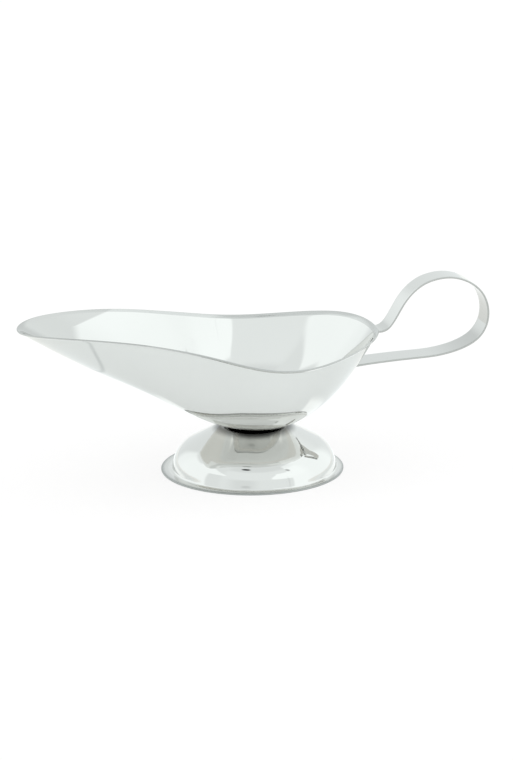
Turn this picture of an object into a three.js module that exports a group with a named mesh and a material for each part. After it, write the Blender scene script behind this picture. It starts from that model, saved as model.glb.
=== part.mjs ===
import * as THREE from 'three';

// A footed sauce boat of mirror-polished sheet steel. It is three pieces spot-welded together:
// a pressed bowl with a long spout, a drawn round foot, and a strip bent into a loop handle.
// Sizes are in millimetres. X runs from the spout (minus) to the handle (plus), and Z is up.
// The foot's axis stands at x = 0, y = 0 until the last lines, which centre the whole length.

// Sheet thickness of each piece
const bowlSheet = 0.8;
const footSheet = 0.8;
const handleSheet = 0.9;

// Foot: a flat plate on top, a straight cone, a round shoulder, a steep wall and a flat flange.
// The shoulder's radius and height are those of the corner that its bend rounds off.
const footHeight = 22;
const plateRadius = 16.2;
const plateBend = 2;
const shoulderRadius = 37.3;
const shoulderHeight = 10.2;
const shoulderBend = 15;
const wallRadius = 39.2;
const flangeBend = 1.2;
const flangeWidth = 4.1;
// The flange is trimmed a little off centre, so it is wider towards the spout
const flangeShift = -1;

// Bowl: its flat bottom stands on the foot. The rim is a smooth closed curve drawn by these
// stations, each measured from the foot's axis and up from the flat bottom. The end stations reach
// furthest, and the corner stations stand back from them.
const bottomRadius = 12;
const bottomBend = 4;
const spoutReach = 118.5;
const spoutCornerBack = 12;
const backReach = 62;
const backCornerBack = 7.5;
const rim = {
  spoutTip: { along: -spoutReach, out: 0, up: 54.5 },
  spoutCorner: { along: spoutCornerBack - spoutReach, out: 20, up: 57 },
  spoutSide: { along: -63.5, out: 32.5, up: 54 },
  spoutRoot: { along: -30, out: 42, up: 46 },
  shoulder: { along: -18.5, out: 49, up: 42.5 },
  belly: { along: 10.5, out: 53.5, up: 36.5 },
  backCorner: { along: backReach - backCornerBack, out: 30.5, up: 44 },
  backMiddle: { along: backReach, out: 0, up: 43 },
};

// The wall between the flat bottom and the rim, under the spout, at the sides and at the back:
// its slope in degrees where it leaves the bottom and where it reaches the rim, and how long it
// holds each slope, as a share of its own length
const slopeAtBottom = { spout: 33, side: 11, back: 25 };
const slopeAtRim = { spout: 33, side: 76, back: 55 };
const slopeHold = { spout: 0.57, side: 0.43, back: 0.38 };

// The lip: the last of the wall turns out a little, all round the rim, and its edge is rounded
const lipReach = { spout: 0.5, side: 0.5, back: 0.7 };
const lipRise = { spout: 1.2, side: 1.2, back: 1.6 };
const lipCrown = 0.15;

// Handle: a strip that widens from its upper end to its lower end. Each end has a tab that lies
// on the back of the bowl, and the strip leaves the bowl a given height below the rim.
const upperWidth = 10.5;
const lowerWidth = 14.5;
const upperJointDrop = 2.6;
const lowerJointDrop = 18;
const upperTabLength = 8;
const lowerTabLength = 10;
const tabCorner = 2;
const jointLead = 1.5;
const cupLength = 4;
const stripEdge = 0.2;
// The gap left between a tab and the bowl
const weldGap = 0.3;
// The loop of the strip, each station measured from the rim's middle station at the back
const loop = {
  outOfJoint: { along: 4, up: -3 },
  risingBend: { along: 11, up: 11.5 },
  risingSide: { along: 18.5, up: 18.5 },
  upperLeft: { along: 25.5, up: 21.5 },
  crest: { along: 37.5, up: 22.5 },
  upperRight: { along: 51, up: 15 },
  farEnd: { along: 55, up: 1.5 },
  lowerRight: { along: 49.5, up: -11.5 },
  gripUnderside: { along: 29.5, up: -16.5 },
  intoJoint: { along: 15.5, up: -16 },
};

// How finely each shape is faceted
const rimSteps = 98;
const bendSteps = 3;
const wallSteps = 10;
const lipSteps = 2;
const footSegments = 60;
const arcSteps = 6;
const tabSteps = 5;
const loopSteps = 58;

const radians = THREE.MathUtils.degToRad;

// A point of a uniform cubic B-spline at t, where point(i) gives its control points
function splinePoint(point, t) {
  const i = Math.floor(t);
  const f = t - i;
  const weights = [
    (1 - f) ** 3 / 6,
    (3 * f ** 3 - 6 * f ** 2 + 4) / 6,
    (-3 * f ** 3 + 3 * f ** 2 + 3 * f + 1) / 6,
    f ** 3 / 6,
  ];
  const result = new THREE.Vector3();
  weights.forEach((weight, k) => result.addScaledVector(point(i - 1 + k), weight));
  return result;
}

// The rim's stations run from the spout tip along the +Y side to the back, and home along -Y
const rimSide = Object.values(rim).map((s) => new THREE.Vector3(s.along, s.out, footHeight + s.up));
const rimOther = rimSide.slice(1, -1).reverse().map((p) => new THREE.Vector3(p.x, -p.y, p.z));
const rimLoop = [...rimSide, ...rimOther];
const rimBack = rimSide.length - 1;

function rimPoint(u) {
  const count = rimLoop.length;
  return splinePoint((i) => rimLoop[((i % count) + count) % count], u);
}

// The rim's middle and half sizes, which say how far round the bowl a rim point lies
const spoutEnd = rimPoint(0).x;
const backEnd = rimPoint(rimBack).x;
const rimMiddle = (spoutEnd + backEnd) / 2;
const rimHalfLength = (backEnd - spoutEnd) / 2;
const rimHalfWidth = Math.max(...Array.from({ length: rimSteps }, (_, i) => rimPoint((i * rimBack) / rimSteps).y));

// A value that goes smoothly from the spout (turn = -1) by the side (0) to the back (1)
function around(value, turn) {
  const tilt = (value.back - value.spout) / 2;
  const bow = (value.back + value.spout) / 2 - value.side;
  return value.side + tilt * turn + bow * turn ** 2;
}

// The lines that shape the wall below the rim point at u
function meridian(u) {
  const edge = rimPoint(u);
  const angle = Math.atan2(edge.y / rimHalfWidth, (edge.x - rimMiddle) / rimHalfLength);
  const turn = Math.cos(angle);
  const foot = new THREE.Vector3(bottomRadius * turn, bottomRadius * Math.sin(angle), footHeight);
  const outward = new THREE.Vector3(edge.x - foot.x, edge.y - foot.y, 0).normalize();
  const slope = (degrees) => outward.clone().multiplyScalar(Math.cos(radians(degrees)))
    .setZ(Math.sin(radians(degrees)));
  const rimSlope = around(slopeAtRim, turn);
  const rise = around(lipRise, turn);
  const lipBack = around(lipReach, turn) + rise / Math.tan(radians(rimSlope));
  const lipFoot = edge.clone().addScaledVector(outward, -lipBack).setZ(edge.z - rise);
  const hold = around(slopeHold, turn) * lipFoot.distanceTo(foot);
  const atRim = slope(rimSlope);
  const wall = new THREE.CubicBezierCurve3(
    foot,
    foot.clone().addScaledVector(slope(around(slopeAtBottom, turn)), hold),
    lipFoot.clone().addScaledVector(atRim, -hold),
    lipFoot,
  );
  const lipTurn = 0.6;
  const lipKnee = lipFoot.clone().addScaledVector(atRim, (lipTurn * rise) / atRim.z);
  const lip = new THREE.QuadraticBezierCurve3(lipFoot, lipKnee, edge);
  return { outward, wall, lip };
}

// Rings of points on the bowl's outer face, from the edge of the flat bottom up to the rim
function bowlRings() {
  const columns = Array.from({ length: rimSteps }, (_, i) => bowlColumn((i * rimLoop.length) / rimSteps));
  return columns[0].map((_, row) => columns.map((column) => column[row]));
}

function bowlColumn(u) {
  const { outward, wall, lip } = meridian(u);
  const bendEnd = bottomBend / wall.getLength();
  const bendTop = wall.getPointAt(bendEnd);
  const direction = wall.getTangentAt(bendEnd);
  const knee = bendTop.clone().addScaledVector(direction, -(bendTop.z - footHeight) / direction.z);
  const bendFoot = knee.clone().addScaledVector(outward, -bottomBend);
  const bend = new THREE.QuadraticBezierCurve3(bendFoot, knee, bendTop);
  const wallPoints = Array.from({ length: wallSteps }, (_, i) => (
    wall.getPointAt(THREE.MathUtils.lerp(bendEnd, 1, (i + 1) / wallSteps))));
  return [...bend.getPoints(bendSteps), ...wallPoints, ...lip.getPoints(lipSteps).slice(1)];
}

// The outward normal of a grid of rings at one of its points
function ringNormal(rings, row, column) {
  const count = rings[row].length;
  const next = rings[row][(column + 1) % count];
  const last = rings[row][(column + count - 1) % count];
  const above = rings[Math.min(row + 1, rings.length - 1)][column];
  const below = rings[Math.max(row - 1, 0)][column];
  return above.clone().sub(below).cross(next.clone().sub(last)).normalize();
}

// A closed mesh through rings of equal length, capped at both ends by a point or by a flat fan
function loftRings(rings, firstPole, lastPole) {
  const count = rings[0].length;
  const positions = [];
  const faces = [];
  rings.flat().forEach((p) => positions.push(p.x, p.y, p.z));
  [firstPole, lastPole].forEach((p) => positions.push(p.x, p.y, p.z));
  const first = rings.length * count;
  const last = first + 1;
  for (let i = 0; i < count; i += 1) {
    const j = (i + 1) % count;
    faces.push(first, i, j);
    for (let row = 0; row + 1 < rings.length; row += 1) {
      const low = row * count;
      const high = low + count;
      faces.push(low + i, high + i, high + j);
      faces.push(low + i, high + j, low + j);
    }
    const top = (rings.length - 1) * count;
    faces.push(last, top + j, top + i);
  }
  const geometry = new THREE.BufferGeometry();
  geometry.setAttribute('position', new THREE.Float32BufferAttribute(positions, 3));
  geometry.setIndex(faces);
  geometry.computeVertexNormals();
  return geometry;
}

// Bowl: the outer face, the rounded edge of the sheet, and the inner face one sheet inside
function makeBowl() {
  const outer = bowlRings();
  const inner = outer.map((ring, row) => ring.map((p, column) => (
    p.clone().addScaledVector(ringNormal(outer, row, column), -bowlSheet))));
  inner[0].forEach((p, column) => p.set(outer[0][column].x, outer[0][column].y, footHeight + bowlSheet));
  const top = outer.length - 1;
  const crown = outer[top].map((p, column) => {
    const along = p.clone().sub(outer[top - 1][column]).normalize();
    return p.clone().add(inner[top][column]).multiplyScalar(0.5).addScaledVector(along, lipCrown);
  });
  const rings = [...outer, crown, ...inner.reverse()];
  const underside = new THREE.Vector3(0, 0, footHeight);
  const inside = new THREE.Vector3(0, 0, footHeight + bowlSheet);
  return loftRings(rings, underside, inside);
}

// An outline through corners given as [x, y, bend radius], with each corner rounded by an arc
function roundedOutline(corners) {
  const points = [new THREE.Vector2(corners[0][0], corners[0][1])];
  for (let i = 1; i + 1 < corners.length; i += 1) {
    const corner = new THREE.Vector2(corners[i][0], corners[i][1]);
    const back = new THREE.Vector2(corners[i - 1][0], corners[i - 1][1]).sub(corner).normalize();
    const ahead = new THREE.Vector2(corners[i + 1][0], corners[i + 1][1]).sub(corner).normalize();
    const half = Math.acos(THREE.MathUtils.clamp(back.dot(ahead), -1, 1)) / 2;
    const radius = corners[i][2];
    const centre = corner.clone().addScaledVector(back.clone().add(ahead).normalize(), radius / Math.sin(half));
    const start = corner.clone().addScaledVector(back, radius / Math.tan(half)).sub(centre);
    const sweep = Math.PI - 2 * half;
    const sign = Math.sign(back.cross(ahead)) * -1;
    for (let k = 0; k <= arcSteps; k += 1) {
      points.push(start.clone().rotateAround(new THREE.Vector2(), (sign * sweep * k) / arcSteps).add(centre));
    }
  }
  const end = corners[corners.length - 1];
  points.push(new THREE.Vector2(end[0], end[1]));
  return points;
}

// The same outline moved to its right by a distance
function offsetOutline(points, distance) {
  return points.map((p, i) => {
    const before = points[Math.max(i - 1, 0)];
    const after = points[Math.min(i + 1, points.length - 1)];
    const along = after.clone().sub(before).normalize();
    return new THREE.Vector2(p.x + along.y * distance, p.y - along.x * distance);
  });
}

// Foot: one sheet turned about the foot's axis, then its flange is moved to where it was trimmed
function makeFoot() {
  const flangeRadius = wallRadius + flangeWidth;
  const edge = footSheet / 3;
  const outside = roundedOutline([
    [0, footHeight],
    [plateRadius, footHeight, plateBend],
    [shoulderRadius, shoulderHeight, shoulderBend],
    [wallRadius, footSheet, flangeBend],
    [flangeRadius - edge, footSheet],
  ]);
  const inside = offsetOutline(outside, footSheet).reverse();
  const tip = [
    new THREE.Vector2(flangeRadius, footSheet - edge),
    new THREE.Vector2(flangeRadius, edge),
  ];
  const profile = [...outside, ...tip, ...inside];
  profile[profile.length - 1].setX(0);
  const geometry = new THREE.LatheGeometry(profile.reverse(), footSegments);
  geometry.rotateX(Math.PI / 2);
  const position = geometry.getAttribute('position');
  const flangeStart = wallRadius + flangeBend;
  for (let i = 0; i < position.count; i += 1) {
    const radius = Math.hypot(position.getX(i), position.getY(i));
    const share = THREE.MathUtils.clamp((radius - flangeStart) / (flangeRadius - flangeStart), 0, 1);
    position.setX(i, position.getX(i) + flangeShift * share);
  }
  geometry.computeVertexNormals();
  return geometry;
}

// The number between low and high where test turns from false to true
function firstTrue(low, high, test) {
  let from = low;
  let to = high;
  for (let i = 0; i < 40; i += 1) {
    const middle = (from + to) / 2;
    if (test(middle)) {
      to = middle;
    } else {
      from = middle;
    }
  }
  return (from + to) / 2;
}

// The point of the bowl's back at side distance y and share s of the wall's length, moved off
// the wall by a distance
function onBack(s, y, distance) {
  const wallPoint = (u, share) => meridian(u).wall.getPointAt(share);
  const u = firstTrue(rimBack - 2, rimBack + 2, (value) => wallPoint(value, s).y < y);
  const step = 0.01;
  const along = wallPoint(u + step, s).sub(wallPoint(u - step, s));
  const up = wallPoint(u, s + step).sub(wallPoint(u, s - step));
  return wallPoint(u, s).addScaledVector(up.cross(along).normalize(), distance);
}

// Stations along the strip, from the end of the upper tab to the end of the lower tab. Each has
// a point and a right-hand direction in the plane y = 0, and the share s of the back wall that it
// lies on, where it lies on the bowl.
function handleStations() {
  const seat = weldGap + handleSheet / 2;
  const back = meridian(rimBack).wall;
  const rimHeight = rimPoint(rimBack).z;
  const shareBelowRim = (drop) => firstTrue(0.2, 0.98, (s) => back.getPointAt(s).z > rimHeight - drop);
  const upperTop = shareBelowRim(upperJointDrop);
  const lowerTop = shareBelowRim(lowerJointDrop);
  const wallLength = back.getLength();
  const tab = (top, length) => Array.from({ length: tabSteps + 1 }, (_, i) => (
    top - ((1 - i / tabSteps) * length) / wallLength));
  const upperShares = tab(upperTop, upperTabLength);
  const lowerShares = tab(lowerTop, lowerTabLength).reverse();
  const onWall = (s) => onBack(s, 0, seat);
  const start = onWall(upperTop);
  const end = onWall(lowerTop);
  const origin = rimSide[rimBack];
  const middle = Object.values(loop).map((p) => new THREE.Vector3(origin.x + p.along, 0, origin.z + p.up));
  const upper = start.clone().addScaledVector(back.getTangentAt(upperTop), jointLead);
  const lower = end.clone().addScaledVector(back.getTangentAt(lowerTop), jointLead);
  const control = [start, start, start, upper, ...middle, lower, end, end, end];
  const curve = (t) => splinePoint((i) => control[Math.min(Math.max(i, 0), control.length - 1)], t);
  const free = spaced(curve, 1, control.length - 2, loopSteps);
  const stations = [
    ...upperShares.slice(0, -1).map((s) => ({ point: onWall(s), share: s, away: 1 })),
    ...free.map((point) => ({ point })),
    ...lowerShares.slice(1).map((s) => ({ point: onWall(s), share: s, away: -1 })),
  ];
  return withDirections(stations, upperTop, lowerTop);
}

// Points an equal distance apart along a curve between two values of t
function spaced(curve, from, to, steps) {
  const fine = steps * 20;
  const points = Array.from({ length: fine + 1 }, (_, i) => curve(from + ((to - from) * i) / fine));
  const travelled = [0];
  points.slice(1).forEach((p, i) => travelled.push(travelled[i] + p.distanceTo(points[i])));
  return Array.from({ length: steps + 1 }, (_, i) => {
    const distance = (travelled[fine] * i) / steps;
    const k = Math.min(Math.max(travelled.findIndex((d) => d >= distance), 1), fine);
    const f = (distance - travelled[k - 1]) / (travelled[k] - travelled[k - 1]);
    return points[k - 1].clone().lerp(points[k], f);
  });
}

// Adds each station's distance along the strip, its right-hand direction and its cup: how much
// of the bowl's own roundness the strip takes there, which fades out as it leaves the bowl
function withDirections(stations, upperTop, lowerTop) {
  let distance = 0;
  stations.forEach((station, i) => {
    const before = stations[Math.max(i - 1, 0)].point;
    const after = stations[Math.min(i + 1, stations.length - 1)].point;
    const along = after.clone().sub(before).normalize();
    distance += i > 0 ? station.point.distanceTo(before) : 0;
    station.right = new THREE.Vector3(along.z, 0, -along.x);
    station.distance = distance;
  });
  const leaves = stations[tabSteps].distance;
  const meets = stations[stations.length - 1 - tabSteps].distance;
  stations.filter((station) => !station.away).forEach((station) => {
    const fromUpper = 1 - (station.distance - leaves) / cupLength;
    const fromLower = 1 - (meets - station.distance) / cupLength;
    station.cup = Math.max(fromUpper, fromLower, 0);
    station.cupShare = fromUpper > fromLower ? upperTop : lowerTop;
  });
  return stations;
}

// The side distance and the height of each point of the strip's section, with its edges eased
function stripSection(width) {
  const flat = [1, 0.5, 0, -0.5, -1].map((share) => (width / 2 - stripEdge) * share);
  const high = handleSheet / 2;
  const low = high - stripEdge;
  return [
    ...flat.map((y) => [y, high]),
    [-width / 2, low],
    [-width / 2, -low],
    ...flat.reverse().map((y) => [y, -high]),
    [width / 2, -low],
    [width / 2, low],
  ];
}

// The width of the strip at a station: an even taper, with round corners at the ends of the tabs
function stripWidth(distance, total) {
  const width = upperWidth + ((lowerWidth - upperWidth) * distance) / total;
  const fromEnd = Math.min(distance, total - distance, tabCorner);
  return width - 2 * (tabCorner - Math.sqrt(tabCorner ** 2 - (tabCorner - fromEnd) ** 2));
}

// Handle: the strip's section set out at every station
function makeHandle() {
  const stations = handleStations();
  const total = stations[stations.length - 1].distance;
  const seat = weldGap + handleSheet / 2;
  const rings = stations.map((station) => {
    const section = stripSection(stripWidth(station.distance, total));
    return section.map(([y, height]) => {
      if (station.away) {
        return onBack(station.share, y, seat + station.away * height);
      }
      const point = station.point.clone().addScaledVector(station.right, height).setY(y);
      const cup = onBack(station.cupShare, 0, seat).x - onBack(station.cupShare, y, seat).x;
      point.x -= station.cup * cup;
      return point;
    });
  });
  const middleOf = (ring) => ring.reduce((sum, p) => sum.add(p), new THREE.Vector3()).divideScalar(ring.length);
  return loftRings(rings, middleOf(rings[0]), middleOf(rings[rings.length - 1]));
}

// Mirror-polished stainless steel, made anew for each piece
function polishedSteel() {
  return new THREE.MeshStandardMaterial({ color: 0xd9dddb, metalness: 1, roughness: 0.06 });
}

function makePiece(name, geometry) {
  const mesh = new THREE.Mesh(geometry, polishedSteel());
  mesh.name = name;
  return mesh;
}

const sauceBoat = new THREE.Group();
sauceBoat.add(makePiece('foot', makeFoot()));
sauceBoat.add(makePiece('bowl', makeBowl()));
sauceBoat.add(makePiece('handle', makeHandle()));

// Centre the whole length and width on the origin, with the foot standing on z = 0
const bounds = new THREE.Box3().setFromObject(sauceBoat);
sauceBoat.position.x = -(bounds.min.x + bounds.max.x) / 2;

export default sauceBoat;
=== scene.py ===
import math

import bpy
import numpy as np
from mathutils import Matrix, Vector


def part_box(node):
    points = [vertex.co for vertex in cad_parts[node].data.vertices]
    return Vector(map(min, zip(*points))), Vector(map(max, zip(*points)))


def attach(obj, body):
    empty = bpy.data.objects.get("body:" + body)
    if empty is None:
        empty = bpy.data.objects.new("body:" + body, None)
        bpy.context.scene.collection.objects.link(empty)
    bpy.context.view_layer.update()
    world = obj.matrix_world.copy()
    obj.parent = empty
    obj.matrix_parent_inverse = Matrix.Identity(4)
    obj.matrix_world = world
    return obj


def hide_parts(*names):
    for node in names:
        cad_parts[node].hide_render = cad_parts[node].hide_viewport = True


# The looks of a mirror-polished steel sauce boat. Each CAD node is replaced by the same shape with
# a finer mesh, because polished metal shows every facet. Shapes are drawn in millimetres from the
# foot's axis, with X towards the handle and Z up, and then scaled and moved onto the CAD frame.
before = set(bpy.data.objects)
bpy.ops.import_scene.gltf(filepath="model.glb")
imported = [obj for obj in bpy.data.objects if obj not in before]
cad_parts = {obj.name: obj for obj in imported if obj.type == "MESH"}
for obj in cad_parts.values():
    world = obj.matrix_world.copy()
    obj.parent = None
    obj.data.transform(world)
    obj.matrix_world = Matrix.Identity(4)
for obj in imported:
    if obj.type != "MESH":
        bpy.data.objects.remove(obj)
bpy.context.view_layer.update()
MM = 0.001

# Sheet thickness of each piece
BOWL_SHEET = 0.8
FOOT_SHEET = 0.8
HANDLE_SHEET = 0.9

# Foot
FOOT_HEIGHT = 22.0
PLATE_RADIUS = 16.2
PLATE_BEND = 2.0
SHOULDER_RADIUS = 37.3
SHOULDER_HEIGHT = 10.2
SHOULDER_BEND = 15.0
WALL_RADIUS = 39.2
FLANGE_BEND = 1.2
FLANGE_START = WALL_RADIUS + FLANGE_BEND
FLANGE_RADIUS = 43.3
FLANGE_SHIFT = -1.0

# Bowl: the rim's stations as (along, out, up from the flat bottom), from the spout tip by the far
# side to the back
BOTTOM_RADIUS = 12.0
BOTTOM_BEND = 4.0
RIM_STATIONS = [
    (-118.5, 0, 54.5),
    (-106.5, 20, 57),
    (-63.5, 32.5, 54),
    (-30, 42, 46),
    (-18.5, 49, 42.5),
    (10.5, 53.5, 36.5),
    (54.5, 30.5, 44),
    (62, 0, 43),
]
# The wall's slopes in degrees, how long it holds them, and the lip: (spout, side, back)
SLOPE_AT_BOTTOM = (31, 12, 25.5)
SLOPE_AT_RIM = (32.5, 66, 56)
SLOPE_HOLD = (0.60, 0.48, 0.42)
LIP_REACH = (0.5, 0.5, 0.7)
LIP_RISE = (1.2, 1.2, 1.6)
LIP_TURN = 0.6

# Handle
UPPER_WIDTH = 10.5
LOWER_WIDTH = 14.5
UPPER_JOINT_DROP = 2.6
LOWER_JOINT_DROP = 18.0
UPPER_TAB_LENGTH = 8.0
LOWER_TAB_LENGTH = 10.0
TAB_CORNER = 2.0
JOINT_LEAD = 1.5
CUP_LENGTH = 4.0
STRIP_EDGE = 0.25
WELD_GAP = 0.3
# The loop's stations as (along, up) from the rim's station at the back
LOOP_STATIONS = [
    (4, -3), (11, 11.5), (18.5, 18.5), (25.5, 21.5), (37.5, 22.5),
    (51, 15), (55, 1.5), (49.5, -11.5), (29.5, -16.5), (15.5, -16),
]

# Mesh fineness: how many steps go round, along or across each form
RIM_STEPS = 420
WALL_STEPS = 60
LIP_STEPS = 8
EDGE_STEPS = 8
FOOT_SEGMENTS = 256
FOOT_STEP = 0.5
BEND_STEPS = 24
LOOP_STEPS = 220
UPPER_TAB_STEPS = 12
LOWER_TAB_STEPS = 16
TAB_CORNER_STEPS = 8
STRIP_STEPS = 16
STRIP_CORNER_STEPS = 4
EPSILON = 1e-3
# Fineness of the tables and searches that place points on a curve
WALL_TABLE = 200
BACK_TABLE = 400
LOOP_TABLE = 6000
BACK_SHARES = (0.2, 0.99)
BACK_STATIONS = 2.0
SEARCH_STEPS = 30
SMALL_SHARE = 0.01
SMALL_CURVE_STEP = 0.001

# The camera, measured from the photograph, in metres, degrees and pixels
CAMERA_DISTANCE = 2.850
CAMERA_AZIMUTH = -17.0
CAMERA_ELEVATION = 17.41
AIM_YAW = -17.044
AIM_PITCH = 16.570
AIM_ROLL = -0.457
FOCAL_PIXELS = 6000
IMAGE_HEIGHT = 760
SENSOR = 36.0
CLIP_END = 100
# The camera's measures are taken from this point beside the foot's axis, in millimetres
CAMERA_ORIGIN = -0.75

# Steel, from its darkest patches to its lightest, its cut edges and painted shade, and the heat tint
# round a weld
STEEL_DARK = (0.69, 0.69, 0.668)
STEEL_LIGHT = (0.71, 0.71, 0.688)
EDGE_STEEL_AND_SHADE = (0.40, 0.41, 0.40)
WELD_TINT = (0.62, 0.57, 0.48)
WELD_TINT_SHARE = 0.5

# Roughness of the polish, and what smudges, hairlines, scratches, welds and cut edges add to it
POLISH_ROUGHNESS = 0.03
SMUDGE_ROUGHNESS = 0.05
HAIRLINE_ROUGHNESS = 0.02
SCRATCH_ROUGHNESS = 0.10
WELD_ROUGHNESS = 0.15
EDGE_ROUGHNESS = 0.35

# Noise as (waves per metre, detail) or (waves per metre, detail, stretch along the axes)
CLOUD_NOISE = (35.0, 3.0)
SMUDGE_NOISE = (110.0, 4.0)
SCRATCH_NOISE = (2600.0, 1.0, (1.0, 0.03, 0.7))
SHEET_NOISE = (70.0, 2.0)
BOWL_HAIRLINES = (6000.0, 1.0, (0.02, 0.02, 1.0))
FOOT_HAIRLINES = (6000.0, 1.0)
HANDLE_HAIRLINES = (6000.0, 1.0, (0.03, 1.0, 0.03))
# How far the foot's hairlines move through their noise on a turn of one radian, in metres
HAIRLINE_TURN = 0.002

# Relief in metres
HAIRLINE_RELIEF = 3e-7
SHEET_RELIEF = 8e-6
WELD_RELIEF = 4e-5

# A ramp is (start, end), and goes smoothly from 0 to 1 between them, or (start, end, before,
# after), and goes from before to after. Places and radii are in millimetres from the foot's axis.
SMUDGE_RAMP = (0.45, 0.75)
SCRATCH_RAMP = (0.70, 0.74)
# The weld's dent and the tint round it, as shares of its radius
WELD_RADIUS = 1.6
WELD_DENT = (0.7, 1.0)
WELD_RING = (1.0, 1.8, 1.0, 0.0)
# From the outer face of the bowl to its inner face, by how far it faces up
FACE_RAMP = (-0.1, 0.1)

# Painted shade inside the spout, as what is left of the light, up to a line across it that leans back
# above a height
SPOUT_SHADE = 0.78
SPOUT_SHADE_RAMP = (-84.0, -78.0, 1.0, 0.0)
SPOUT_LEAN_HEIGHT = 71.5
SPOUT_LEAN = -6.0
# Painted light on the bowl's bottom near the foot, and painted shade on the foot beside its joint with
# the bowl
BOTTOM_PAINTED_LIGHT = 1.235
BOTTOM_LIGHT_RAMP = (14.0, 24.0, 1.0, 0.0)
JOINT_SHADE = 0.24
JOINT_SHADE_RAMP = (16.5, 21.0, 1.0, 0.0)
# Painted shade on the flange
FLANGE_SHADE = 0.9
FLANGE_SHADE_RAMP = (FLANGE_START, FLANGE_START + 1.0)
# Painted shade on the handle, low on its outside, by height, and in its loop, by its place along
HANDLE_SHADE = 0.8
LOOP_MIDDLE = (92.0, 68.0)
LOOP_FACE_RAMP = (-2.0, 2.0)
LOOP_OUTSIDE_SHADE_RAMP = (70.0, 82.0, 0.5, 0.0)
LOOP_INSIDE_SHADE_RAMP = (85.0, 108.0, 0.3, 1.0)

# How dull and dark the cut edges are: the rim and its lip at places along the bowl, and the handle
# Along the rim this darkness is partly painted shade, and on the lip's inner face it is painted shade
RIM_EDGE_ALONG = (-90, -60, -40, 20, 60)
RIM_EDGE_DULL_AND_SHADE = (0.3, 0.5, 0.75, 0.75, 0.35)
LIP_PAINTED_SHADE = (0.05, 0.4, 0.45, 0.45, 0.45)
HANDLE_EDGE_WEAR = 0.7
# How wide the flange's dull edge is, in general, and at its front, where the wider dark band is
# painted shade
FLANGE_WEAR_WIDTH = 1.6
FLANGE_DULL_AND_SHADE_WIDTH_FRONT = 3.2

# The studio is drawn by direction, in degrees: the turn is 0 in front and grows to the handle's
# side, the rise is 0 at the horizon. Strengths are what is added to white paper's 1.
STUDIO_TINT = (1.0, 1.05, 1.06)
SIDE_PANEL = 0.25
# The left panel: its front edge by rise, its back edge by turn, its slanted top and its top by turn
LEFT_FRONT = (26.0, 32.0, -90.0, -62.0)
LEFT_BACK = (-168.0, -154.0)
LEFT_SLANT = 0.4
LEFT_SLANTED_TOP = (7.0, 10.0, 1.0, 0.0)
LEFT_TOP = (-125.0, -100.0, 38.0, 50.0)
LEFT_SOFT = 3.0
# The right panel: its front edge by rise, in two parts, its back edge by turn and its top by turn
RIGHT_FRONT_LOW = (17.0, 24.0, 40.0, 9.0)
RIGHT_FRONT_HIGH = (26.0, 40.0, 0.0, 10.0)
RIGHT_BACK = (120.0, 140.0, 1.0, 0.0)
RIGHT_TOP = (38.0, 46.0, 39.5, 60.0)
RIGHT_SOFT = 2.0
# A quieter place low in front, by turn and by rise
QUIET_DEPTH = -0.10
QUIET_LEFT = (-62.0, -38.0)
QUIET_RIGHT = (-28.0, -4.0, 1.0, 0.0)
QUIET_TOP = (18.0, 27.0, 1.0, 0.0)
# The front's own glow by rise, which turns into shade above, and its sides by turn
FRONT_GLOW = (18.0, 27.0, 0.04, 0.06)
FRONT_TOP = (47.0, 56.0, 1.0, -1.0)
FRONT_LEFT = (-72.0, -62.0)
FRONT_RIGHT = (60.0, 80.0, 1.0, 0.0)
# The shade behind the boat, by how far the turn is from the front
BACK_SHADE = (135.0, 155.0, 0.0, -0.06)
# Small dark gear as (turn, rise, half turn, half rise, depth), and its soft edge
GEAR = [
    (-36, 61.5, 11, 3.0, 0.95),
    (44, 44.5, 3.5, 4.5, 0.7),
    (-28, 4, 9, 1.5, 0.2),
    (33, 12, 1.5, 16, 0.1),
]
GEAR_EDGE = (0.4, 1.4)

# Half the floor's side in metres, and how brightly the studio lights it, where 1 is white
FLOOR_HALF_SIDE = 4.0
FLOOR_LIGHT = 0.95
# The share of the floor's white that takes the shadow, seen straight and in the steel, and how
# much warmer the rest is in the steel, so that the shadow is warm
FLOOR_SHADE_SEEN = 0.25
FLOOR_SHADE_MIRRORED = 0.6
FLOOR_WARMTH = (0.03, -0.01, -0.02)
# The mirrored floor's level, and what is left of its glow far from the foot's axis
FLOOR_MIRRORED_LEVEL = 1.03
FLOOR_FAR_GLOW = (0.92, 0.85, 0.78)
FLOOR_FAR_RAMP = (100.0, 140.0)
# Where the side panels light the mirrored floor: its reach, and the sides' front and back by turn
PANEL_REACH = (54.0, 66.0, 1.0, 0.0)
FLOOR_LEFT_FRONT = (-96.0, -90.0, 1.0, 0.0)
FLOOR_RIGHT_FRONT = (56.0, 64.0)
FLOOR_RIGHT_BACK = (115.0, 125.0, 1.0, 0.0)
# A seam in the floor's cover, seen only in the steel: its place along, its slant and its darkness
SEAM_PLACE = -91.0
SEAM_SLANT = 0.29
SEAM_RAMP = (0.0, 2.2, -0.5, 0.0)

# The foot's axis in the CAD frame, in metres
foot_low, foot_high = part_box("foot")
axis_x = (foot_low[0] + foot_high[0]) / 2 - FLANGE_SHIFT * MM


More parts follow.
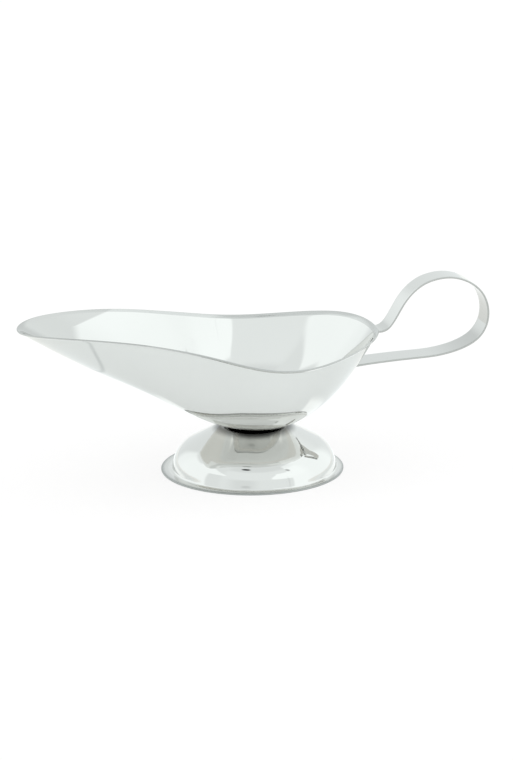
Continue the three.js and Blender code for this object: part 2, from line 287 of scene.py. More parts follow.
def smooth_mesh(name, rings, poles, edge):
    """A closed mesh through rings of points, with a fan to a pole at each end.

    The edge weights, one for each ring or for each point of a ring, mark the cut edge and painted
    shade.
    """
    count = len(rings[0])
    vertices = np.concatenate([np.reshape(rings, (-1, 3)), np.array(poles)]) * MM
    vertices[:, 0] += axis_x
    rows = len(rings)
    first = rows * count
    last = first + 1
    faces = []
    for i in range(count):
        j = (i + 1) % count
        faces.append((first, i, j))
        for row in range(rows - 1):
            low = row * count
            high = low + count
            faces.append((low + i, high + i, high + j, low + j))
        top = (rows - 1) * count
        faces.append((last, top + j, top + i))
    mesh = bpy.data.meshes.new(name)
    mesh.from_pydata(vertices.tolist(), [], faces)
    weights = np.broadcast_to(edge, (rows, count)).ravel()
    edge_dull_and_shade = mesh.attributes.new("dull_edge_and_painted_shade", "FLOAT", "POINT")
    edge_dull_and_shade.data.foreach_set("value", np.append(weights, (0.0, 0.0)).astype(np.float32))
    mesh.validate()
    mesh.shade_smooth()
    piece = bpy.data.objects.new(name, mesh)
    bpy.context.scene.collection.objects.link(piece)
    return piece


def unit(vectors):
    """The same vectors, one a row, with a length of 1."""
    return vectors / np.linalg.norm(vectors, axis=1)[:, None]


def distances(points):
    """How far a line through the points has gone at each of them."""
    steps = np.linalg.norm(np.diff(points, axis=0), axis=1)
    return np.concatenate([[0], np.cumsum(steps)])


def spline_points(control, t):
    """Points of a uniform cubic B-spline; control holds one more point before and after."""
    t = np.asarray(t, float)
    i = np.floor(t).astype(int)
    f = (t - i)[:, None]
    weights = [
        (1 - f) ** 3 / 6,
        (3 * f ** 3 - 6 * f ** 2 + 4) / 6,
        (-3 * f ** 3 + 3 * f ** 2 + 3 * f + 1) / 6,
        f ** 3 / 6,
    ]
    last = len(control) - 1
    return sum(w * control[np.clip(i + k - 1, 0, last)] for k, w in enumerate(weights))


def rim_points(u):
    """Points of the whole rim, by the numbers of its stations."""
    half = np.array([(x, y, FOOT_HEIGHT + up) for x, y, up in RIM_STATIONS], float)
    other = half[-2:0:-1] * (1, -1, 1)
    loop = np.concatenate([half, other])
    count = len(loop)
    control = np.concatenate([loop, loop, loop])
    return spline_points(control, np.asarray(u) % count + count)


RIM_BACK = len(RIM_STATIONS) - 1
RIM_SPANS = 2 * RIM_BACK
ring_u = np.arange(RIM_STEPS) * RIM_SPANS / RIM_STEPS
whole_rim = rim_points(ring_u)
rim_low = whole_rim.min(axis=0)
rim_high = whole_rim.max(axis=0)
rim_middle = (rim_low[0] + rim_high[0]) / 2
rim_half_length = (rim_high[0] - rim_low[0]) / 2
rim_half_width = rim_high[1]


def around(value, turn):
    """Goes smoothly from the spout (turn -1) by the side (0) to the back (1)."""
    spout, side, back = value
    return side + (back - spout) / 2 * turn + ((back + spout) / 2 - side) * turn ** 2


def meridians(u):
    """The wall's Bezier points and the lip's, below the rim points at u."""
    edge = rim_points(u)
    angle = np.arctan2(edge[:, 1] / rim_half_width, (edge[:, 0] - rim_middle) / rim_half_length)
    turn = np.cos(angle)
    height = np.full(len(turn), FOOT_HEIGHT)
    foot = np.stack([BOTTOM_RADIUS * turn, BOTTOM_RADIUS * np.sin(angle), height], axis=1)
    outward = edge - foot
    outward[:, 2] = 0
    outward = unit(outward)

    def slope(degrees):
        radians = np.radians(degrees)[:, None]
        return outward * np.cos(radians) + np.array([0, 0, 1]) * np.sin(radians)

    rim_slope = around(SLOPE_AT_RIM, turn)
    at_rim = slope(rim_slope)
    at_bottom = slope(around(SLOPE_AT_BOTTOM, turn))
    rise = around(LIP_RISE, turn)
    lip_back = around(LIP_REACH, turn) + rise / np.tan(np.radians(rim_slope))
    lip_foot = edge - outward * lip_back[:, None]
    lip_foot[:, 2] = edge[:, 2] - rise
    hold = (around(SLOPE_HOLD, turn) * np.linalg.norm(lip_foot - foot, axis=1))[:, None]
    wall = [foot, foot + at_bottom * hold, lip_foot - at_rim * hold, lip_foot]
    knee = lip_foot + at_rim * (LIP_TURN * rise / at_rim[:, 2])[:, None]
    return outward, wall, [lip_foot, knee, edge]


def bezier(points, t):
    """Points at t, an array of one value or more for each column, of Bezier curves."""
    degree = len(points) - 1
    t = t[..., None]
    return sum(math.comb(degree, k) * t ** k * (1 - t) ** (degree - k) * p[:, None, :]
               for k, p in enumerate(points))


def wall_length(wall):
    """A fine table of the distance travelled along each wall."""
    table = np.linspace(0, 1, WALL_TABLE)
    points = bezier(wall, np.tile(table, (len(wall[0]), 1)))
    steps = np.linalg.norm(np.diff(points, axis=1), axis=2)
    return table, np.concatenate([np.zeros((len(steps), 1)), np.cumsum(steps, axis=1)], axis=1)


def at_length(wall, distance):
    """The curve values at which each wall has gone a distance along itself."""
    table, travelled = wall_length(wall)
    return np.array([np.interp(d, row, table) for d, row in zip(distance, travelled)])


def bowl_rings():
    """The bowl's outer face as rings, from the edge of the flat bottom to the rim."""
    outward, wall, lip = meridians(ring_u)
    length = wall_length(wall)[1][:, -1:]
    steps = np.linspace(0, 1, WALL_STEPS + 1)
    distance = BOTTOM_BEND + (length - BOTTOM_BEND) * steps
    t = at_length(wall, distance)
    wall_points = bezier(wall, t)
    start = wall_points[:, 0]
    ahead = bezier(wall, t[:, :1] + SMALL_CURVE_STEP)[:, 0] - start
    knee = start - ahead * ((start[:, 2] - FOOT_HEIGHT) / ahead[:, 2])[:, None]
    bend = [knee - outward * BOTTOM_BEND, knee, start]
    few = np.tile(np.linspace(0, 1, LIP_STEPS + 1), (RIM_STEPS, 1))
    columns = [bezier(bend, few)[:, :-1], wall_points, bezier(lip, few)[:, 1:]]
    return np.concatenate(columns, axis=1).transpose(1, 0, 2)


def ring_normals(rings):
    around_ring = np.roll(rings, -1, axis=1) - np.roll(rings, 1, axis=1)
    up = np.gradient(rings, axis=0)
    normals = np.cross(up, around_ring)
    return normals / np.linalg.norm(normals, axis=2)[..., None]


def make_bowl():
    outer = bowl_rings()
    normals = ring_normals(outer)
    inner = outer - normals * BOWL_SHEET
    inner[0] = outer[0]
    inner[0, :, 2] += BOWL_SHEET
    up = unit(outer[-1] - outer[-2])
    middle = (outer[-1] + inner[-1]) / 2
    edge = [
        middle + (normals[-1] * math.cos(a) + up * math.sin(a)) * BOWL_SHEET / 2
        for a in np.linspace(0, math.pi, EDGE_STEPS + 1)[1:-1]
    ]
    rings = [*outer, *edge, *inner[::-1]]
    poles = [(0, 0, FOOT_HEIGHT), (0, 0, FOOT_HEIGHT + BOWL_SHEET)]
    # The dull edge is darkest along the sides, partly painted shade; the lip's inner face has painted
    # shade
    plain = np.zeros(RIM_STEPS)
    dulling_and_shade = np.interp(middle[:, 0], RIM_EDGE_ALONG, RIM_EDGE_DULL_AND_SHADE)
    lip = np.interp(middle[:, 0], RIM_EDGE_ALONG, LIP_PAINTED_SHADE)
    edge_dull_and_shade = [plain] * len(outer) + [dulling_and_shade] * len(edge) + [lip] * LIP_STEPS
    edge_dull_and_shade += [plain] * (len(inner) - LIP_STEPS)
    return smooth_mesh("bowl_shell", rings, poles, np.array(edge_dull_and_shade))


def rounded_outline(corners, steps):
    """An outline through corners of (x, y, bend radius), with an arc at each bend."""
    points = [np.array(corners[0][:2], float)]
    for before, corner, after in zip(corners, corners[1:], corners[2:]):
        place = np.array(corner[:2], float)
        back = np.array(before[:2]) - place
        ahead = np.array(after[:2]) - place
        back /= np.linalg.norm(back)
        ahead /= np.linalg.norm(ahead)
        half = math.acos(np.dot(back, ahead)) / 2
        inward = (back + ahead) / np.linalg.norm(back + ahead)
        centre = place + inward * corner[2] / math.sin(half)
        start = place + back * corner[2] / math.tan(half) - centre
        turn = -math.copysign(math.pi - 2 * half, back[0] * ahead[1] - back[1] * ahead[0])
        for a in np.linspace(0, turn, steps + 1):
            c = math.cos(a)
            s = math.sin(a)
            points.append(centre + (c * start[0] - s * start[1], s * start[0] + c * start[1]))
    points.append(np.array(corners[-1][:2], float))
    return np.array(points)


def resampled(points, step):
    """The same line with points no further apart than a step."""
    result = [points[:1]]
    for a, b in zip(points, points[1:]):
        count = max(1, math.ceil(np.linalg.norm(b - a) / step))
        result.append(a + (b - a) * np.linspace(0, 1, count + 1)[1:, None])
    return np.concatenate(result)


def foot_profile():
    """The foot's section as (radius, height) points, from its inside to its outside."""
    edge = FOOT_SHEET / 2
    outside = rounded_outline([
        (0, FOOT_HEIGHT),
        (PLATE_RADIUS, FOOT_HEIGHT, PLATE_BEND),
        (SHOULDER_RADIUS, SHOULDER_HEIGHT, SHOULDER_BEND),
        (WALL_RADIUS, FOOT_SHEET, FLANGE_BEND),
        (FLANGE_RADIUS - edge, FOOT_SHEET),
    ], BEND_STEPS)
    outside = resampled(outside, FOOT_STEP)[1:]
    along = unit(np.gradient(outside, axis=0))
    inside = outside + np.stack([along[:, 1], -along[:, 0]], axis=1) * FOOT_SHEET
    centre = np.array([FLANGE_RADIUS - edge, edge])
    tip = [
        centre + (edge * math.cos(a), edge * math.sin(a))
        for a in np.linspace(math.pi / 2, -math.pi / 2, EDGE_STEPS + 1)
    ]
    return np.concatenate([outside[:-1], tip, inside[-2::-1]])[::-1]


def make_foot():
    profile = foot_profile()
    radius = profile[:, :1]
    height = profile[:, 1:]
    angle = np.arange(FOOT_SEGMENTS) * 2 * math.pi / FOOT_SEGMENTS
    share = np.clip((radius - FLANGE_START) / (FLANGE_RADIUS - FLANGE_START), 0, 1)
    x = radius * np.cos(-angle) + FLANGE_SHIFT * share
    y = radius * np.sin(-angle)
    rings = np.stack([x, y, np.broadcast_to(height, x.shape)], axis=2)
    poles = [(0, 0, FOOT_HEIGHT - FOOT_SHEET), (0, 0, FOOT_HEIGHT)]
    # The flange's edge is dull, and its dark band is widest at its front, where it is painted shade
    front = np.clip(np.sin(angle), 0, 1) ** 2
    dulling_and_shade = FLANGE_WEAR_WIDTH + (FLANGE_DULL_AND_SHADE_WIDTH_FRONT - FLANGE_WEAR_WIDTH) * front
    edge_dull_and_shade = np.clip((radius - FLANGE_RADIUS + dulling_and_shade) / (dulling_and_shade - FOOT_SHEET / 2), 0, 1)
    return smooth_mesh("foot_shell", rings, poles, edge_dull_and_shade)


def on_wall(u, s):
    """Points of the wall at rim values u and shares s of each wall's own length."""
    wall = meridians(u)[1]
    length = wall_length(wall)[1][:, -1]
    t = at_length(wall, (s * length)[:, None])
    return bezier(wall, t)[:, 0]


def on_back(s, y, distance):
    """Points of the bowl's back at shares s and side distances y, moved off the wall."""
    s, y, distance = np.broadcast_arrays(np.asarray(s, float), y, distance)
    low = np.full(s.shape, RIM_BACK - BACK_STATIONS)
    high = np.full(s.shape, RIM_BACK + BACK_STATIONS)
    for _ in range(SEARCH_STEPS):
        u = (low + high) / 2
        past = on_wall(u, s)[:, 1] < y
        high = np.where(past, u, high)
        low = np.where(past, low, u)
    across = on_wall(u + SMALL_SHARE, s) - on_wall(u - SMALL_SHARE, s)
    up = on_wall(u, s + SMALL_SHARE) - on_wall(u, s - SMALL_SHARE)
    return on_wall(u, s) + unit(np.cross(up, across)) * distance[:, None]


def strip_section(width):
    """The strip's section as (side, height) points, with rounded edges."""
    half = width / 2 - STRIP_EDGE
    high = HANDLE_SHEET / 2 - STRIP_EDGE
    flat = np.linspace(1, -1, STRIP_STEPS + 1) * half
    arc = np.linspace(0, math.pi / 2, STRIP_CORNER_STEPS + 1)[1:]
    top = [(y, high + STRIP_EDGE) for y in flat]
    bottom = [(y, -high - STRIP_EDGE) for y in flat[::-1]]
    far = [(-half - STRIP_EDGE * math.sin(a), high + STRIP_EDGE * math.cos(a)) for a in arc]
    near = [(y, -z) for y, z in reversed(far)]
    return np.array(top + far + near[:-1] + bottom + [(-y, -z) for y, z in far + near[:-1]])


def strip_width(distance, length):
    """The strip's width at a distance along it; its ends have rounded corners."""
    width = UPPER_WIDTH + (LOWER_WIDTH - UPPER_WIDTH) * distance / length
    from_end = min(distance, length - distance, TAB_CORNER)
    return width - 2 * (TAB_CORNER - math.sqrt(TAB_CORNER ** 2 - (TAB_CORNER - from_end) ** 2))


def tab_shares():
    """Places along the upper and lower tab, as shares of the wall's length, in the strip's order."""
    shares = np.linspace(*BACK_SHARES, BACK_TABLE)
    heights = on_wall(np.full(BACK_TABLE, float(RIM_BACK)), shares)[:, 2]
    rim_height = rim_points([RIM_BACK])[0, 2]
    length = wall_length(meridians(np.array([RIM_BACK]))[1])[1][0, -1]
    corner = np.linspace(0, TAB_CORNER, TAB_CORNER_STEPS + 1)
    tabs = []
    for drop, reach, steps in (
        (UPPER_JOINT_DROP, UPPER_TAB_LENGTH, UPPER_TAB_STEPS),
        (LOWER_JOINT_DROP, LOWER_TAB_LENGTH, LOWER_TAB_STEPS),
    ):
        # The tab's end takes closer stations, where its corners are rounded
        from_end = np.concatenate([corner, np.linspace(TAB_CORNER, reach, steps + 1)[1:]])
        joint = np.interp(rim_height - drop, heights, shares)
        tabs.append(joint - (reach - from_end) / length)
    upper, lower = tabs
    return upper, lower[::-1]


def loop_points(upper_joint, lower_joint, seat):
    """The strip's middle line in the loop, in even steps from the upper joint to the lower."""
    def lead(joint):
        places = np.array([joint - SMALL_SHARE, joint + SMALL_SHARE])
        below, above = on_wall(np.full(2, float(RIM_BACK)), places)
        return (above - below) / np.linalg.norm(above - below) * JOINT_LEAD

    start, end = on_back([upper_joint, lower_joint], 0.0, seat)
    back_along, _, back_up = RIM_STATIONS[-1]
    control = np.array([
        *[start] * 3,
        start + lead(upper_joint),
        *[(back_along + a, 0, FOOT_HEIGHT + back_up + b) for a, b in LOOP_STATIONS],
        end + lead(lower_joint),
        *[end] * 3,
    ])
    fine = spline_points(control, np.linspace(1, len(control) - 2, LOOP_TABLE))
    travelled = distances(fine)
    even = np.linspace(0, travelled[-1], LOOP_STEPS + 1)
    return np.stack([np.interp(even, travelled, fine[:, k]) for k in range(3)], axis=1)


def make_handle():
    seat = WELD_GAP + HANDLE_SHEET / 2
    upper, lower = tab_shares()
    loop = loop_points(upper[-1], lower[0], seat)
    points = np.concatenate([on_back(upper, 0.0, seat)[:-1], loop, on_back(lower, 0.0, seat)[1:]])
    gone = distances(points)
    along = unit(np.gradient(points, axis=0))
    leaves = len(upper) - 1
    meets = len(points) - len(lower)
    rings = []
    for i, point in enumerate(points):
        side, height = strip_section(strip_width(gone[i], gone[-1])).T
        if i < leaves:
            ring = on_back(np.full(len(side), upper[i]), side, seat + height)
        elif i > meets:
            ring = on_back(np.full(len(side), lower[i - meets]), side, seat - height)
        else:
            right = np.array([along[i, 2], 0, -along[i, 0]])
            ring = point + right * height[:, None]
            ring[:, 1] = side
            # Near its joints the strip is curved across as the bowl's back is
            from_upper = 1 - (gone[i] - gone[leaves]) / CUP_LENGTH
            from_lower = 1 - (gone[meets] - gone[i]) / CUP_LENGTH
            cup = max(from_upper, from_lower, 0)
            if cup > 0:
                joint = upper[-1] if from_upper > from_lower else lower[0]
                curve = on_back(np.full(len(side), joint), side, seat)[:, 0]
                ring[:, 0] -= cup * (on_back([joint], 0.0, seat)[0, 0] - curve)
        rings.append(ring)
    side, height = strip_section(UPPER_WIDTH).T
    edge_dull_and_shade = np.where(abs(side) > UPPER_WIDTH / 2 - STRIP_EDGE + EPSILON, HANDLE_EDGE_WEAR, 0.0)
    poles = [rings[0].mean(axis=0), rings[-1].mean(axis=0)]
    return smooth_mesh("handle_strip", rings, poles, edge_dull_and_shade)


def weld_places():
    """The middle of each tab's outer face in the CAD frame, in metres."""
    middles = [tab[len(tab) // 2] for tab in tab_shares()]
    welds = on_back(middles, 0.0, WELD_GAP + HANDLE_SHEET)
    return [tuple((weld * MM + (axis_x, 0, 0)).tolist()) for weld in welds]


def node(tree, kind, inputs=(), **settings):
    """A new shader node with its settings; an input is a value or another node's output."""
    made = tree.nodes.new(kind)
    for key, value in settings.items():
        setattr(made, key, value)
    for key, value in dict(inputs).items():
        if isinstance(value, bpy.types.NodeSocket):
            tree.links.new(value, made.inputs[key])
        else:
            made.inputs[key].default_value = value
    return made


def maths(tree, operation, *values):
    return node(tree, "ShaderNodeMath", dict(enumerate(values)), operation=operation).outputs[0]


def chained(tree, operation, values):
    """All the values added or multiplied, one after another."""
    result = values[0]
    for value in values[1:]:
        result = maths(tree, operation, result, value)
    return result


def ramp(tree, value, start, end, before=0.0, after=1.0, size=1.0):
    """Goes smoothly from before to after while the value goes from start to end, times a size."""
    inputs = {
        "Value": value,
        "From Min": start * size,
        "From Max": end * size,
        "To Min": before,
        "To Max": after,
    }
    return node(tree, "ShaderNodeMapRange", inputs, interpolation_type="SMOOTHSTEP").outputs["Result"]


def past(tree, value, limit, soft, before=0.0, after=1.0):
    """Goes from before to after where the value passes a limit, which is a node's output."""
    return ramp(tree, maths(tree, "SUBTRACT", value, limit), -soft, soft, before, after)


def axes(tree, vector):
    return node(tree, "ShaderNodeSeparateXYZ", {"Vector": vector}).outputs


def from_axis(tree, parts):
    """How far a place lies along X from the foot's axis, and its distance from that axis."""
    along = maths(tree, "SUBTRACT", parts["X"], axis_x)
    square = maths(tree, "MULTIPLY", along, along)
    squares = maths(tree, "MULTIPLY_ADD", parts["Y"], parts["Y"], square)
    return along, maths(tree, "SQRT", squares)


def noise(tree, place, waves, detail, stretch=(1, 1, 1)):
    """Noise with a number of waves per metre, stretched along the axes."""
    size = tuple(waves * s for s in stretch)
    mapped = node(tree, "ShaderNodeMapping", {"Vector": place, "Scale": size})
    inputs = {"Vector": mapped.outputs[0], "Scale": 1.0, "Detail": detail}
    return node(tree, "ShaderNodeTexNoise", inputs).outputs["Fac"]


def coloured(tree, factor, low, high):
    """Goes from one colour to another; each is a plain colour or another node's output."""
    mix = node(tree, "ShaderNodeMix", {"Factor": factor}, data_type="RGBA")
    for key, colour in (("A", low), ("B", high)):
        if isinstance(colour, bpy.types.NodeSocket):
            tree.links.new(colour, mix.inputs[key])
        else:
            mix.inputs[key].default_value = (*colour, 1)
    return mix.outputs["Result"]


def relief(tree, height, distance, below=None):
    inputs = {"Height": height, "Distance": distance}
    if below is not None:
        inputs["Normal"] = below
    return node(tree, "ShaderNodeBump", inputs).outputs["Normal"]


def start_material(name):
    material = bpy.data.materials.new(name)
    material.use_nodes = True
    tree = material.node_tree
    return material, tree, node(tree, "ShaderNodeTexCoord").outputs["Object"]


def polished_steel(tree, place, hairlines, painted_patches, dents=()):
    """Mirror-polished sheet: hairlines, smudges, few scratches, slightly uneven, dull cut edges,
    painted shade.

    Each patch is painted light or shade: a share, and what is left of the light where that share is 1.
    """
    surface = tree.nodes["Principled BSDF"]
    surface.inputs["Metallic"].default_value = 1.0
    colour = coloured(tree, noise(tree, place, *CLOUD_NOISE), STEEL_DARK, STEEL_LIGHT)
    for share, left in painted_patches:
        colour = coloured(tree, share, colour, tuple(c * left for c in STEEL_DARK))
    # Cut edges are dull, and the same colour paints shade on the rim's lip and the flange's front
    edge_dull_and_shade = node(tree, "ShaderNodeAttribute", attribute_name="dull_edge_and_painted_shade").outputs["Fac"]
    colour = coloured(tree, edge_dull_and_shade, colour, EDGE_STEEL_AND_SHADE)

    smudges = ramp(tree, noise(tree, place, *SMUDGE_NOISE), *SMUDGE_RAMP)
    scratches = ramp(tree, noise(tree, place, *SCRATCH_NOISE), *SCRATCH_RAMP)
    rough = chained(tree, "ADD", [
        maths(tree, "MULTIPLY_ADD", smudges, SMUDGE_ROUGHNESS, POLISH_ROUGHNESS),
        maths(tree, "MULTIPLY", hairlines, HAIRLINE_ROUGHNESS),
        maths(tree, "MULTIPLY", scratches, SCRATCH_ROUGHNESS),
    ])
    normal = relief(tree, noise(tree, place, *SHEET_NOISE), SHEET_RELIEF)
    normal = relief(tree, hairlines, HAIRLINE_RELIEF, normal)
    for point in dents:
        inputs = {0: place, 1: point}
        far = node(tree, "ShaderNodeVectorMath", inputs, operation="DISTANCE").outputs["Value"]
        dent = ramp(tree, far, *WELD_DENT, size=WELD_RADIUS * MM)
        normal = relief(tree, dent, WELD_RELIEF, normal)
        ring = ramp(tree, far, *WELD_RING, size=WELD_RADIUS * MM)
        colour = coloured(tree, maths(tree, "MULTIPLY", ring, WELD_TINT_SHARE), colour, WELD_TINT)
        rough = maths(tree, "MULTIPLY_ADD", ring, WELD_ROUGHNESS, rough)
    rough = maths(tree, "MULTIPLY_ADD", edge_dull_and_shade, EDGE_ROUGHNESS, rough)
    tree.links.new(colour, surface.inputs["Base Color"])
    tree.links.new(rough, surface.inputs["Roughness"])
    tree.links.new(normal, surface.inputs["Normal"])


def bowl_steel():
    """Polished round the bowl, so hairlines are level; painted shade in the spout and light on the
    bottom.
    """
    material, tree, place = start_material("bowl_steel_polished")
    hairlines = noise(tree, place, *BOWL_HAIRLINES)
    parts = axes(tree, place)
    along, radius = from_axis(tree, parts)
    upwards = axes(tree, node(tree, "ShaderNodeNewGeometry").outputs["Normal"])["Z"]
    above = maths(tree, "SUBTRACT", parts["Z"], SPOUT_LEAN_HEIGHT * MM)
    above = maths(tree, "MAXIMUM", above, 0.0)
    leaning = maths(tree, "MULTIPLY_ADD", above, SPOUT_LEAN, along)
    # Painted shade inside the spout
    spout = chained(tree, "MULTIPLY", [
        ramp(tree, leaning, *SPOUT_SHADE_RAMP, size=MM),
        ramp(tree, upwards, *FACE_RAMP),
    ])
    # Painted light on the bowl's bottom near the foot
    bottom = chained(tree, "MULTIPLY", [
        ramp(tree, radius, *BOTTOM_LIGHT_RAMP, size=MM),
        ramp(tree, upwards, *FACE_RAMP, 1.0, 0.0),
    ])
    polished_steel(tree, place, hairlines, [(spout, SPOUT_SHADE), (bottom, BOTTOM_PAINTED_LIGHT)])
    return material


def foot_steel():
    """Polished on a lathe, so its hairlines are rings; painted shade on the flange and beside the
    joint.
    """
    material, tree, place = start_material("foot_steel_polished")
    parts = axes(tree, place)
    along, radius = from_axis(tree, parts)
    turn = maths(tree, "ARCTAN2", parts["Y"], along)
    ring = {"X": radius, "Y": maths(tree, "MULTIPLY", turn, HAIRLINE_TURN), "Z": parts["Z"]}
    rings = node(tree, "ShaderNodeCombineXYZ", ring).outputs[0]
    hairlines = noise(tree, rings, *FOOT_HAIRLINES)
    # Painted shade on the flange
    flange_shade = ramp(tree, radius, *FLANGE_SHADE_RAMP, size=MM)
    # Painted shade on the foot beside its joint with the bowl
    joint = ramp(tree, radius, *JOINT_SHADE_RAMP, size=MM)
    polished_steel(tree, place, hairlines, [(flange_shade, FLANGE_SHADE), (joint, JOINT_SHADE)])
    return material


def handle_steel():
    """A strip polished along its length; painted shade low on its outside and in its loop."""
    material, tree, place = start_material("handle_steel_polished")
    hairlines = noise(tree, place, *HANDLE_HAIRLINES)
    parts = axes(tree, place)
    along = maths(tree, "SUBTRACT", parts["X"], axis_x)
    middle = (axis_x + LOOP_MIDDLE[0] * MM, 0.0, LOOP_MIDDLE[1] * MM)
    inputs = {0: middle, 1: place}
    inward = node(tree, "ShaderNodeVectorMath", inputs, operation="SUBTRACT").outputs[0]
    inputs = {0: inward, 1: node(tree, "ShaderNodeNewGeometry").outputs["Normal"]}
    facing = node(tree, "ShaderNodeVectorMath", inputs, operation="DOT_PRODUCT").outputs["Value"]
    inside = ramp(tree, facing, *LOOP_FACE_RAMP, size=MM)
    # Painted shade on the handle, low on its outside and in its loop
    outer_shade = ramp(tree, parts["Z"], *LOOP_OUTSIDE_SHADE_RAMP, size=MM)
    inner_shade = ramp(tree, along, *LOOP_INSIDE_SHADE_RAMP, size=MM)
    more = maths(tree, "SUBTRACT", inner_shade, outer_shade)
    handle_painted_shade = maths(tree, "MULTIPLY_ADD", inside, more, outer_shade)
    polished_steel(tree, place, hairlines, [(handle_painted_shade, HANDLE_SHADE)], weld_places())
    return material


def white_floor(tree, level, share, warmth, strength, far):
    """A level of which a share is lit, and so takes the shadow; the rest glows, and is warm."""
    glowing = [colour * (1 - share) * (1 + warm) for colour, warm in zip(level, warmth)]
    lit = [(c - g) / (FLOOR_LIGHT * t) for c, g, t in zip(level, glowing, STUDIO_TINT)]
    shadowed = node(tree, "ShaderNodeBsdfDiffuse", {"Color": (*lit, 1)}).outputs[0]
    faint = [g * left for g, left in zip(glowing, FLOOR_FAR_GLOW)]
    inputs = {"Color": coloured(tree, far, glowing, faint), "Strength": strength}
    glow = node(tree, "ShaderNodeEmission", inputs).outputs[0]
    return node(tree, "ShaderNodeAddShader", {0: shadowed, 1: glow}).outputs[0]


def mirrored_glow(tree, parts, along, radius):
    """How brightly the mirrored floor glows: the side panels' light on it, and the dark seam."""
    facing = maths(tree, "MULTIPLY", parts["Y"], -1.0)
    turn = maths(tree, "DEGREES", maths(tree, "ARCTAN2", along, facing))
    left = chained(tree, "MULTIPLY", [
        ramp(tree, turn, *FLOOR_LEFT_FRONT),
        ramp(tree, turn, *LEFT_BACK),
    ])
    right = chained(tree, "MULTIPLY", [
        ramp(tree, turn, *FLOOR_RIGHT_FRONT),
        ramp(tree, turn, *FLOOR_RIGHT_BACK),
    ])
    beside = maths(tree, "MAXIMUM", left, right)
    beside = maths(tree, "MULTIPLY", beside, ramp(tree, radius, *PANEL_REACH, size=MM))
    glow = maths(tree, "MULTIPLY_ADD", beside, SIDE_PANEL / (1 - FLOOR_SHADE_MIRRORED), 1.0)
    off_seam = maths(tree, "SUBTRACT", along, SEAM_PLACE * MM)
    off_seam = maths(tree, "MULTIPLY_ADD", parts["Y"], -SEAM_SLANT, off_seam)
    off_seam = maths(tree, "ABSOLUTE", off_seam)
    return maths(tree, "ADD", glow, ramp(tree, off_seam, *SEAM_RAMP, size=MM))


def floor_material():
    """White paper, with more shadow and a few more things on it where the steel mirrors it."""
    material, tree, place = start_material("floor_white")
    tree.nodes.remove(tree.nodes["Principled BSDF"])
    path = node(tree, "ShaderNodeLightPath").outputs
    camera = path["Is Camera Ray"]
    seen = maths(tree, "MAXIMUM", camera, path["Is Glossy Ray"])
    seen = maths(tree, "MAXIMUM", seen, path["Is Transmission Ray"])
    parts = axes(tree, place)
    along, radius = from_axis(tree, parts)
    glow = maths(tree, "MULTIPLY", seen, mirrored_glow(tree, parts, along, radius))
    far = ramp(tree, radius, *FLOOR_FAR_RAMP, size=MM)
    level = [FLOOR_MIRRORED_LEVEL * t for t in STUDIO_TINT]
    mirrored = white_floor(tree, level, FLOOR_SHADE_MIRRORED, FLOOR_WARMTH, glow, far)
    straight = white_floor(tree, (1, 1, 1), FLOOR_SHADE_SEEN, (0, 0, 0), seen, 0.0)
    both = node(tree, "ShaderNodeMixShader", {0: camera, 1: mirrored, 2: straight}).outputs[0]
    tree.links.new(both, tree.nodes["Material Output"].inputs["Surface"])
    return material


def make_floor():
    mesh = bpy.data.meshes.new("floor")
    side = FLOOR_HALF_SIDE
    corners = [(-side, -side, 0), (side, -side, 0), (side, side, 0), (-side, side, 0)]
    mesh.from_pydata(corners, [], [(0, 1, 2, 3)])
    floor = bpy.data.objects.new("floor", mesh)
    bpy.context.scene.collection.objects.link(floor)
    mesh.materials.append(floor_material())


def side_panels(tree, turn, rise):
    """The brighter panel at either side, as a light that is added."""
    front = ramp(tree, rise, *LEFT_FRONT)
    slanted = maths(tree, "MULTIPLY_ADD", turn, LEFT_SLANT, rise)
    top = ramp(tree, turn, *LEFT_TOP)
    left = chained(tree, "MULTIPLY", [
        past(tree, turn, front, LEFT_SOFT, 1.0, 0.0),
        ramp(tree, turn, *LEFT_BACK),
        ramp(tree, slanted, *LEFT_SLANTED_TOP),
        past(tree, rise, top, LEFT_SOFT, 1.0, 0.0),
    ])
    front = maths(tree, "ADD", ramp(tree, rise, *RIGHT_FRONT_LOW), ramp(tree, rise, *RIGHT_FRONT_HIGH))
    top = ramp(tree, turn, *RIGHT_TOP)
    right = chained(tree, "MULTIPLY", [
        past(tree, turn, front, RIGHT_SOFT),
        ramp(tree, turn, *RIGHT_BACK),
        past(tree, rise, top, RIGHT_SOFT, 1.0, 0.0),
    ])
    return [maths(tree, "MULTIPLY", panel, SIDE_PANEL) for panel in (left, right)]


def quiet_places(tree, turn, rise):
    """The quieter place low in front, the front's own glow and shade, and the shade behind."""
    quiet = chained(tree, "MULTIPLY", [
        ramp(tree, turn, *QUIET_LEFT),
        ramp(tree, turn, *QUIET_RIGHT),
        ramp(tree, rise, *QUIET_TOP),
    ])
    front = chained(tree, "MULTIPLY", [
        ramp(tree, turn, *FRONT_LEFT),
        ramp(tree, turn, *FRONT_RIGHT),
        ramp(tree, rise, *FRONT_GLOW),
        ramp(tree, rise, *FRONT_TOP),
    ])
    behind = ramp(tree, maths(tree, "ABSOLUTE", turn), *BACK_SHADE)
    return [maths(tree, "MULTIPLY", quiet, QUIET_DEPTH), front, behind]


def dark_spot(tree, turn, rise, middle_turn, middle_rise, half_turn, half_rise, depth):
    """A soft dark patch in the studio, as a light that is taken away."""
    across = maths(tree, "DIVIDE", maths(tree, "SUBTRACT", turn, middle_turn), half_turn)
    up = maths(tree, "DIVIDE", maths(tree, "SUBTRACT", rise, middle_rise), half_rise)
    far = maths(tree, "MULTIPLY_ADD", across, across, maths(tree, "MULTIPLY", up, up))
    return ramp(tree, far, *GEAR_EDGE, -depth, 0.0)


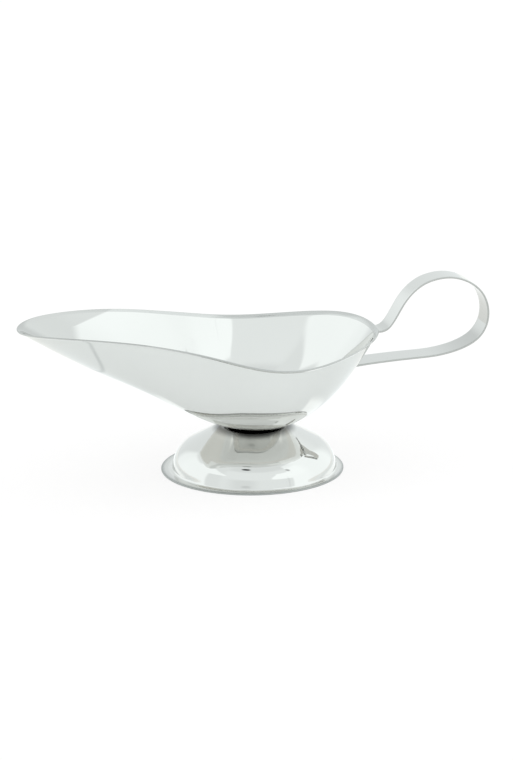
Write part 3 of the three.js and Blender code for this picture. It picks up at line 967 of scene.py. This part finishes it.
def make_world():
    """A white studio: a brighter panel at either side, a quieter front and small dark gear."""
    world = bpy.data.worlds.new("studio")
    world.use_nodes = True
    tree = world.node_tree
    parts = axes(tree, node(tree, "ShaderNodeTexCoord").outputs["Generated"])
    facing = maths(tree, "MULTIPLY", parts["Y"], -1.0)
    turn = maths(tree, "DEGREES", maths(tree, "ARCTAN2", parts["X"], facing))
    rise = maths(tree, "DEGREES", maths(tree, "ARCSINE", parts["Z"]))
    light = chained(tree, "ADD", [
        *side_panels(tree, turn, rise),
        *quiet_places(tree, turn, rise),
        *[dark_spot(tree, turn, rise, *gear) for gear in GEAR],
    ])
    # The camera itself sees plain white
    camera = node(tree, "ShaderNodeLightPath").outputs["Is Camera Ray"]
    unseen = maths(tree, "SUBTRACT", 1.0, camera)
    strength = maths(tree, "MULTIPLY_ADD", light, unseen, 1.0)
    background = tree.nodes["Background"]
    tree.links.new(coloured(tree, camera, STUDIO_TINT, (1, 1, 1)), background.inputs["Color"])
    tree.links.new(strength, background.inputs["Strength"])
    bpy.context.scene.world = world


def direction(turn, rise):
    """The unit vector towards a turn and a rise in degrees, where a turn of 0 is the front."""
    turn = math.radians(turn)
    rise = math.radians(rise)
    level = math.cos(rise)
    return np.array([math.sin(turn) * level, -math.cos(turn) * level, math.sin(rise)])


def make_camera():
    place = direction(CAMERA_AZIMUTH, CAMERA_ELEVATION) * CAMERA_DISTANCE
    place[0] += axis_x + CAMERA_ORIGIN * MM
    back = direction(AIM_YAW, AIM_PITCH)
    yaw = math.radians(AIM_YAW)
    roll = math.radians(AIM_ROLL)
    level = np.array([math.cos(yaw), math.sin(yaw), 0])
    upright = np.cross(back, level)
    right = math.cos(roll) * level + math.sin(roll) * upright
    up = math.cos(roll) * upright - math.sin(roll) * level
    data = bpy.data.cameras.new("camera")
    data.lens = FOCAL_PIXELS * SENSOR / IMAGE_HEIGHT
    data.sensor_width = SENSOR
    data.clip_end = CLIP_END
    camera = bpy.data.objects.new("camera", data)
    columns = np.stack([right, up, back, place], axis=1)
    camera.matrix_world = Matrix([*columns.tolist(), (0, 0, 0, 1)])
    bpy.context.scene.collection.objects.link(camera)
    bpy.context.scene.camera = camera


make_camera()
make_world()
make_floor()

pieces = {"bowl": make_bowl(), "foot": make_foot(), "handle": make_handle()}
steels = {"bowl": bowl_steel(), "foot": foot_steel(), "handle": handle_steel()}
for node_name, piece in pieces.items():
    piece.data.materials.append(steels[node_name])
    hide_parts(node_name)
    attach(piece, "root")

bpy.context.scene.view_settings.view_transform = "Standard"
